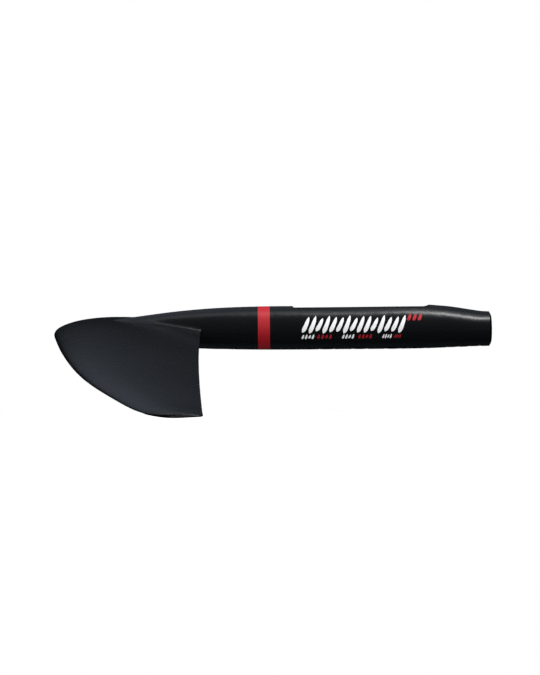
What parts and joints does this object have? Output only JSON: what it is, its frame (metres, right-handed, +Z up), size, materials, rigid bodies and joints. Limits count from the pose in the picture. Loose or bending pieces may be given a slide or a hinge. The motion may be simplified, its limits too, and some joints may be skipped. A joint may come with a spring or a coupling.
{
  "type": "hydrofoil front wing",
  "caption": "One-piece carbon hydrofoil front wing with swept, drooping tips and a built-in front fuselage, with a flat mast seat, a tenon pocket and a bored socket for the tail boom.",
  "frame": {"origin": "middle of the mouth of the mast pocket, in the plane of the flat mast seat", "axes": "+X aft along the fuselage, +Y to starboard, +Z up towards the mast"},
  "size_m": [0.3577, 0.74, 0.0526],
  "materials": {
    "carbon_skin": "carbon twill under satin lacquer, fuselage sprayed satin black",
    "red_lacquer": "satin lacquer",
    "carbon_laminate": "solid carbon laminate, matt",
    "foam": "closed-cell foam, matt",
    "stainless_steel": "turned",
    "aluminium": "machined",
    "dark_anodised": "dark anodised, satin"
  },
  "bodies": {
    "root": {"upper_skin": "carbon_skin", "lower_skin": "carbon_skin", "marking_band": "red_lacquer", "spar_web": "foam", "spar_cap_upper": "carbon_laminate", "spar_cap_lower": "carbon_laminate", "leading_edge_filler": "carbon_laminate", "nose_core_port": "foam", "nose_core_starboard": "foam", "aft_core_port": "foam", "aft_core_starboard": "foam", "trailing_edge_strip_port": "carbon_laminate", "trailing_edge_strip_starboard": "carbon_laminate", "root_core": "foam", "mast_block": "carbon_laminate", "mast_pocket_liner": "carbon_laminate", "mast_screw_sleeves": "stainless_steel", "tail_socket": "aluminium", "tail_screw_sleeves": "stainless_steel", "tail_end_ring": "dark_anodised"}
  },
  "joints": []
}
